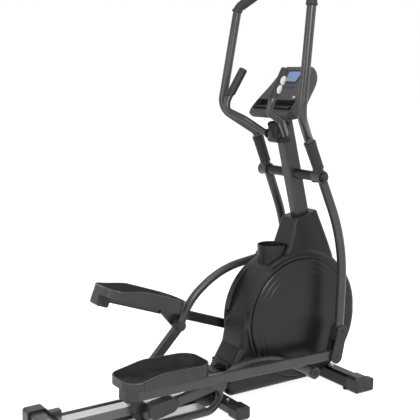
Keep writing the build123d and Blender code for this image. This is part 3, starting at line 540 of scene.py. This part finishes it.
for word, side in SIDES.items():
    out = Vector((0, side, 0))
    pivot, wheel = joint_at["swing_" + word], joint_at["transport_" + word]
    swing, arm = swing_frame[word], arm_frame[word]

    bm = gathered((dome_cap(0.0145, 0.0035), aimed((pivot.x, side * 0.2262, pivot.z), out)))
    finish_piece("pivot_cap_" + word, bm, cap_grey, "frame")

    lean = math.radians(SWING_LEAN)
    bm = bmesh.new()
    for x, z in ((114, -694), (SWING_LONG * math.sin(lean), -SWING_LONG * math.cos(lean))):
        for y, way in ((213, out), (159, -out)):
            put(bm, sunk_screw(0.0060), aimed(swing @ mm(x, y, z), way))
    finish_piece("hinge_cover_screws_" + word, bm, screw_black, "swing_" + word)

    bm = gathered((dome_cap(0.0165, 0.0060), aimed(arm @ mm(0, 156.6, 0), out)))
    finish_piece("crank_pin_cap_" + word, bm, cap_grey, "arm_" + word)

    bm = gathered((dome_cap(0.0095, 0.0030), aimed(arm @ mm(-ARM_LONG, 64, 0), -out)))
    finish_piece("roller_axle_cap_" + word, bm, zinc, "arm_" + word)

    bm = gathered(*[(turned(HUB), aimed((wheel.x, side * y, wheel.z), out * way))
                    for y, way in ((0.267, 1), (0.249, -1))])
    finish_piece("transport_hub_" + word, bm, cap_grey, "transport_" + word)

    # collar where the foam grip begins
    along = (HANDLE_TOP - HANDLE_LOW).normalized()
    start = HANDLE_LOW + along * ((GRIP_START - 270) / 1000 / along.z)
    bm = gathered((turned(COLLAR), swing @ aimed(start, along)))
    finish_piece("grip_collar_" + word, bm, cap_grey, "swing_" + word)

    # seam rings on the sleeve
    along = (SLEEVE_TOP - SLEEVE_LOW).normalized()
    bm = gathered(*[(seam_ring(r), swing @ aimed(SLEEVE_TOP + along * d, along))
                    for d, r in ((-0.090, 0.0242), (0.018, 0.0257))])
    finish_piece("sleeve_rings_" + word, bm, cap_grey, "swing_" + word)

    # weld metal around the swing pivot boss and the roller arm's pivot boss
    bm = gathered(*[(bead(0.0262, 0.0016), aimed((pivot.x, side * y, pivot.z), out))
                    for y in (0.158 + 0.0006, 0.212 - 0.0006)])
    finish_piece("boss_bead_" + word, bm, charcoal, "swing_" + word)
    bm = gathered(*[(bead(0.0222, 0.0018), aimed(arm @ mm(-ARM_AT, y, ARM_UP), out))
                    for y in (120.4, 145.6)])
    finish_piece("arm_bead_" + word, bm, charcoal, "arm_" + word)


# ---------------------------------------------------------------- console

TILT = math.radians(49.3)
PANEL_FOOT = mm(300, 0, 1247)


def on_panel(s, across=0.0, n=0.0):
    """Place on the sloping console face: s up the slope, across to the user's right."""
    up = Vector((math.cos(TILT), 0, math.sin(TILT)))
    out = Vector((-math.sin(TILT), 0, math.cos(TILT)))
    right = Vector((0, -1, 0))
    place = PANEL_FOOT + up * s / 1000 + right * across / 1000 + out * n / 1000
    turn = Matrix((right, up, out)).transposed().to_4x4()
    return Matrix.Translation(place) @ turn


bm = gathered((slab(0.108, 0.074, 0.0022, 0.010, 0.0008, 0.0085), on_panel(192, 0, -0.3)))
finish_piece("display_bezel", bm, ledge_grey, "frame")
bm = gathered((slab(0.046, 0.010, 0.0004, 0.0035), on_panel(171.5, -20, -0.62)))
finish_piece("display_lower_window", bm, lcd_green, "frame")
bm = gathered((slab(0.196, 0.150, 0.0010, 0.018, 0.0004, 0.0022), on_panel(152, 0, -0.2)),
              (slab(0.140, 0.026, 0.0009, 0.008, 0.0003, 0.0016), on_panel(134, 0, -0.2)))
finish_piece("panel_overlay_lines", bm, panel_grey, "frame")
bm = gathered(*[(slab(0.024, 0.0026, 0.0009, 0.0012, 0.0003), on_panel(186 - k * 5.2, across, -0.2))
                for k in range(7) for across in (-88, 88)])
finish_piece("panel_side_ribs", bm, panel_grey, "frame")
ring = turned([(0.0078, -0.0003), (0.0082, 0.0010), (0.0096, 0.0012), (0.0104, -0.0003)])
bm = gathered((ring, on_panel(78, 105, 0)))
finish_piece("button_ring", bm, ledge_grey, "frame")


# ---------------------------------------------------------------- handlebar clamp

PULSE_CROSSING = (0.337, 0.043, 1.148)  # where the pulse handlebar leaves the clamp, left side
lo, hi = [Vector(corner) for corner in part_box("clamp_cover")]
size, middle = hi - lo, (hi + lo) / 2
bm = bmesh.new()
bmesh.ops.create_cube(bm, size=1)
bmesh.ops.subdivide_edges(bm, edges=bm.edges[:], cuts=3, use_grid_fill=True)
for v in bm.verts:
    height = v.co.z * 2
    bulge = 1.0 - 0.16 * height * height
    v.co = Vector((v.co.x * size.x * bulge, v.co.y * size.y * bulge, v.co.z * size.z))
upright = [e for e in bm.edges
           if all(abs(v.co.x) > size.x * 0.38 and abs(v.co.y) > size.y * 0.38 for v in e.verts)
           and abs(e.verts[0].co.z - e.verts[1].co.z) > size.z * 0.1]
level = [e for e in bm.edges
         if all(abs(v.co.z) > size.z * 0.49 for v in e.verts) and len(e.link_faces) == 2
         and abs(e.link_faces[0].normal.dot(e.link_faces[1].normal)) < 0.5]
bmesh.ops.bevel(bm, geom=list(set(upright + level)), offset=0.015, segments=4, profile=0.5,
                affect="EDGES", material=-1)
bmesh.ops.translate(bm, vec=middle, verts=bm.verts[:])
cover = finish_piece("clamp_bulb", bm, clamp_black, "frame", 50)
rounding = cover.modifiers.new("rounding", "SUBSURF")
rounding.levels = rounding.render_levels = 2
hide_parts("clamp_cover")
bm = gathered((dome_cap(0.017, 0.010), aimed((lo.x + 0.003, 0, 1.150), (-1, 0, 0))))
finish_piece("clamp_knob", bm, cap_grey, "frame")
CUFF = [(0.0150, 0), (0.0205, 0), (0.0215, 0.002), (0.0205, 0.012), (0.0175, 0.016),
        (0.0150, 0.016)]
x, y, z = PULSE_CROSSING
bm = gathered(*[(turned(CUFF), aimed((x, side * y, z), (0, side, 0))) for side in (1, -1)])
finish_piece("clamp_cuffs", bm, clamp_black, "frame")


# ---------------------------------------------------------------- hand sensors

GRIP_LOW_END, GRIP_HIGH_END = mm(193, 157, 1291), mm(264, 148, 1412)
GRIP_SKIN = 18.2                        # radius under the plates
PLATE_REACH = 20.5                      # plate half widths become angles on this radius


def contact_plate(at, half_long, half_wide):
    """Oval plate wrapped around the grip's outer side and crowned in its middle."""
    plate = bmesh.new()
    bmesh.ops.create_grid(plate, x_segments=14, y_segments=14, size=1)
    raised = bmesh.ops.extrude_face_region(plate, geom=plate.faces[:])["geom"]
    bmesh.ops.translate(plate, vec=(0, 0, 1), verts=points_of(raised))
    for v in plate.verts:
        x, y, up = v.co
        crown = 1 - 0.5 * (x ** 4 + y ** 4)
        a = x * math.sqrt(1 - y * y / 2) * half_wide / PLATE_REACH
        r = (GRIP_SKIN + up * (1.0 + 1.3 * crown)) / 1000
        v.co = (r * math.sin(a), r * math.cos(a),
                (at + y * math.sqrt(1 - x * x / 2) * half_long) / 1000)
    return plate


along = (GRIP_HIGH_END - GRIP_LOW_END).normalized()
out = (ACROSS - along * along.y).normalized()
turn = Matrix((out.cross(along), out, along)).transposed().to_4x4()
on_grip = Matrix.Translation(GRIP_LOW_END) @ turn
bm = gathered(*[(contact_plate(*sizes), Matrix.Scale(side, 4, ACROSS) @ on_grip)
                for side in (1, -1) for sizes in ((58, 19, 12.5), (99, 20, 13.5))])
sensors = finish_piece("contact_plates", bm, plate_bright, "frame", 55)
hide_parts("pulse_sensors")


# ---------------------------------------------------------------- housing fittings

def flank(z):
    """Half width of the neck at a height, in millimetres."""
    return 66 - 18 * (z - 665) / 165


NECK_SLOPE = 0.109                      # lean of the neck's sides, radians
RING_R = 274                            # radius of the raised ring that the screws sit on
bm = bmesh.new()
for side in (1, -1):
    lean = Vector((0, side * math.cos(NECK_SLOPE), math.sin(NECK_SLOPE)))
    for x, z in ((496.5, 700), (420, 742)):
        put(bm, sunk_screw(0.0042), aimed(mm(x, side * (flank(z) + 0.1), z), lean))
    for degree in (68, 20, -58, -122, 160, 112):
        a = math.radians(degree)
        x, z = CRANK[0] * 1000 + RING_R * math.cos(a), CRANK[2] * 1000 + RING_R * math.sin(a)
        put(bm, sunk_screw(0.0034), aimed(mm(x, side * 94.1, z), (0, side, 0)))
    rear_lean = Vector((-0.55, side * 0.83, 0.1)).normalized()
    put(bm, sunk_screw(0.0042), aimed(mm(136, side * 75, 378), rear_lean))
finish_piece("housing_screws", bm, screw_black, "frame")

rim = bead(0.0628, 0.0020, 72, 0)
bmesh.ops.scale(rim, vec=(1, 0.953, 1), verts=rim.verts[:])
bm = gathered((rim, Matrix.Translation(mm(324, 0, 667))))
finish_piece("cup_rim", bm, shell_black, "frame", 60)
bm = gathered(*[(sunk_screw(0.0036), aimed(mm(277, side * 43.5, 617),
                                           Vector((-0.72, side * 0.69, 0.05)).normalized()))
                for side in (-1, 1)])
finish_piece("cup_screws", bm, screw_black, "frame")


# ---------------------------------------------------------------- base fittings

UP = (0, 0, 1)
bm = gathered(*[(hex_bolt(0.0105, 0.0070), aimed(mm(x, y, top), UP))
                for x, top in ((629, 72), (-711, 64)) for y in (-66, 66)],
              *[(hex_bolt(0.0095, 0.0060), aimed(mm(17, y, 55), UP)) for y in (-110, 110)])
finish_piece("stabilizer_bolts", bm, zinc, "frame")

SCREW = [(0.0052, -0.0002), (0.0050, 0.0003), (0.0022, 0.0003), (0.0016, -0.0002), (0, -0.0002)]
bm = gathered(*[(turned(SCREW, 24), aimed(mm(x, y, 49), UP))
                for x in (-635, -376, -120) for y in (-90, 90)])
finish_piece("track_screws", bm, zinc, "frame")

bm = gathered(*[(bead(0.0162, 0.0018), aimed(mm(-677.6, y, 38), (1, 0, 0))) for y in (-140, 140)],
              *[(bead(0.0212, 0.0018), aimed(mm(428, y, 976), (0, 1, 0))) for y in (-27.4, 27.4)])
finish_piece("frame_beads", bm, charcoal, "frame")

# rubber buffer at the rear end of each track
bm = gathered(*[(slab(0.018, 0.052, 0.012, 0.004, 0.0015), Matrix.Translation(mm(-664, y, 40)))
                for y in (-90, 90)])
finish_piece("track_buffers", bm, foot_black, "frame")


# ---------------------------------------------------------------- studio

def area_lamp(name, place, target, size, power):
    data = bpy.data.lights.new(name, "AREA")
    data.shape = "RECTANGLE"
    data.size, data.size_y = size
    data.energy = power
    lamp = bpy.data.objects.new(name, data)
    bpy.context.scene.collection.objects.link(lamp)
    lamp.location = place
    lamp.rotation_euler = (Vector(target) - Vector(place)).to_track_quat("-Z", "Y").to_euler()


def seen_directly(tree):
    """1 for rays that show the surroundings: straight, mirrored or through glass."""
    path = tree.nodes.new("ShaderNodeLightPath")
    last = path.outputs["Is Camera Ray"]
    for kind in ("Is Glossy Ray", "Is Transmission Ray"):
        either = tree.nodes.new("ShaderNodeMath")
        either.operation = "MAXIMUM"
        tree.links.new(last, either.inputs[0])
        tree.links.new(path.outputs[kind], either.inputs[1])
        last = either.outputs[0]
    return last


def white_background(material, strength):
    """Floor colour that reads as white but still takes the shadow."""
    tree = material.node_tree
    shader = tree.nodes["Principled BSDF"]
    out = tree.nodes["Material Output"]
    glow = tree.nodes.new("ShaderNodeEmission")
    glow.inputs["Color"].default_value = (1, 1, 1, 1)
    add = tree.nodes.new("ShaderNodeAddShader")
    power = tree.nodes.new("ShaderNodeMath")
    power.operation = "MULTIPLY"
    power.inputs[1].default_value = strength
    tree.links.new(seen_directly(tree), power.inputs[0])
    tree.links.new(power.outputs[0], glow.inputs["Strength"])
    tree.links.new(shader.outputs[0], add.inputs[0])
    tree.links.new(glow.outputs[0], add.inputs[1])
    tree.links.new(add.outputs[0], out.inputs["Surface"])


def studio():
    floor_mesh = bmesh.new()
    bmesh.ops.create_grid(floor_mesh, x_segments=1, y_segments=1, size=30)
    data = bpy.data.meshes.new("floor")
    floor_mesh.to_mesh(data)
    floor_mesh.free()
    floor = bpy.data.objects.new("floor", data)
    bpy.context.scene.collection.objects.link(floor)
    mat = bpy.data.materials.new("pale floor")
    mat.use_nodes = True
    shader = mat.node_tree.nodes["Principled BSDF"]
    shader.inputs["Base Color"].default_value = (0.80, 0.80, 0.80, 1)
    shader.inputs["Roughness"].default_value = 0.9
    white_background(mat, 0.90)
    data.materials.append(mat)
    world = bpy.data.worlds.new("studio")
    bpy.context.scene.world = world
    world.use_nodes = True
    tree = world.node_tree
    back = tree.nodes["Background"]
    back.inputs["Color"].default_value = (1, 1, 1, 1)
    level = tree.nodes.new("ShaderNodeMapRange")
    level.inputs["To Min"].default_value = 0.22
    level.inputs["To Max"].default_value = 1.0
    tree.links.new(seen_directly(tree), level.inputs["Value"])
    tree.links.new(level.outputs["Result"], back.inputs["Strength"])
    area_lamp("key", (-0.9, -3.6, 2.9), (0.1, 0, 0.7), (1.3, 1.3), 85)
    area_lamp("overhead", (-0.2, -0.3, 3.6), (0.1, 0, 0.6), (2.2, 2.2), 22)
    area_lamp("front side", (2.9, -1.8, 1.8), (0.2, 0, 0.8), (1.0, 2.2), 8)
    area_lamp("rear side", (-3.2, -0.4, 1.7), (0, 0, 0.7), (0.9, 1.8), 30)


def camera():
    data = bpy.data.cameras.new("camera")
    data.sensor_width = 36
    data.lens = 72.79
    cam = bpy.data.objects.new("camera", data)
    bpy.context.scene.collection.objects.link(cam)
    cam.location = (-1.8984, -2.9071, 1.4159)
    cam.rotation_euler = (math.radians(90 - 9.304), math.radians(-0.015), math.radians(-33.147))
    bpy.context.scene.camera = cam


studio()
camera()
bpy.context.scene.view_settings.view_transform = "Standard"
